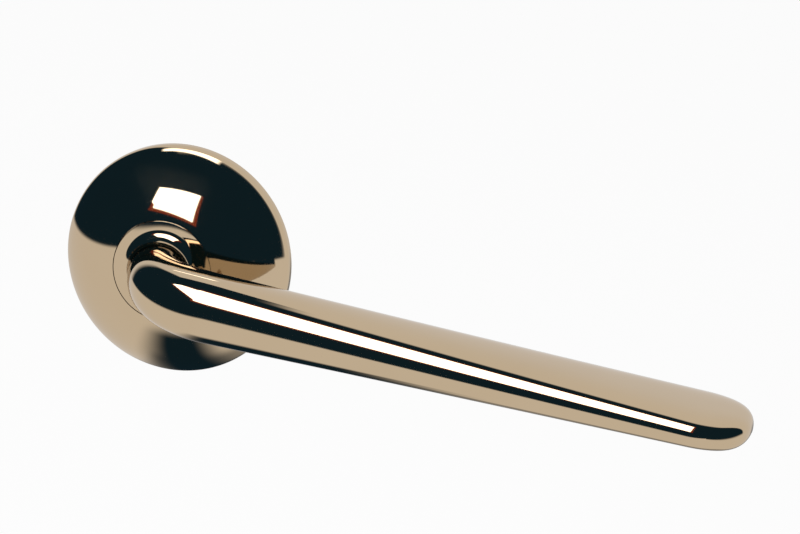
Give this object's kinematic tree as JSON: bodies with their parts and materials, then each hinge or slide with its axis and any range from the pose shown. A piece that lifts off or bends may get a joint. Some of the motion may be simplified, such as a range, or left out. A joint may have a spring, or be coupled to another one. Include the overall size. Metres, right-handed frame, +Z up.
{
  "type": "cistern lever",
  "caption": "Polished flush lever for a toilet cistern: domed rose, elbowed handle with a thin paddle, threaded tail with backnut, and a lift arm on the spindle.",
  "frame": {"origin": "on the spindle's axis, in the plane of the gasket's face, where it meets the cistern wall", "axes": "+Y along the spindle into the cistern, +X along the handle at rest, +Z up"},
  "size_m": [0.1599, 0.0797, 0.0509],
  "materials": {
    "polished_nickel": "mirror polished, warm nickel plate",
    "brass": "turned brass, dull",
    "steel": "turned steel, zinc plated",
    "dark_steel": "blackened steel",
    "rubber": "black rubber, matt",
    "white_plastic": "white moulded plastic"
  },
  "bodies": {
    "fixing": {"rose": "polished_nickel", "gasket": "rubber", "tail_bush": "brass", "thrust_washer": "white_plastic", "clamp_washer": "white_plastic", "backnut": "brass"},
    "handle": {"lever": "polished_nickel", "lever_grub_screw": "dark_steel", "spindle": "steel", "spindle_washer": "steel", "retaining_clip": "dark_steel", "lift_arm": "brass", "arm_grub_screw": "dark_steel"}
  },
  "joints": [
    {"name": "handle_turn", "type": "hinge", "parent": "fixing", "child": "handle", "pos_m": [0, 0, 0], "axis": [0, 1, 0], "range_deg": [0, 45]}
  ]
}
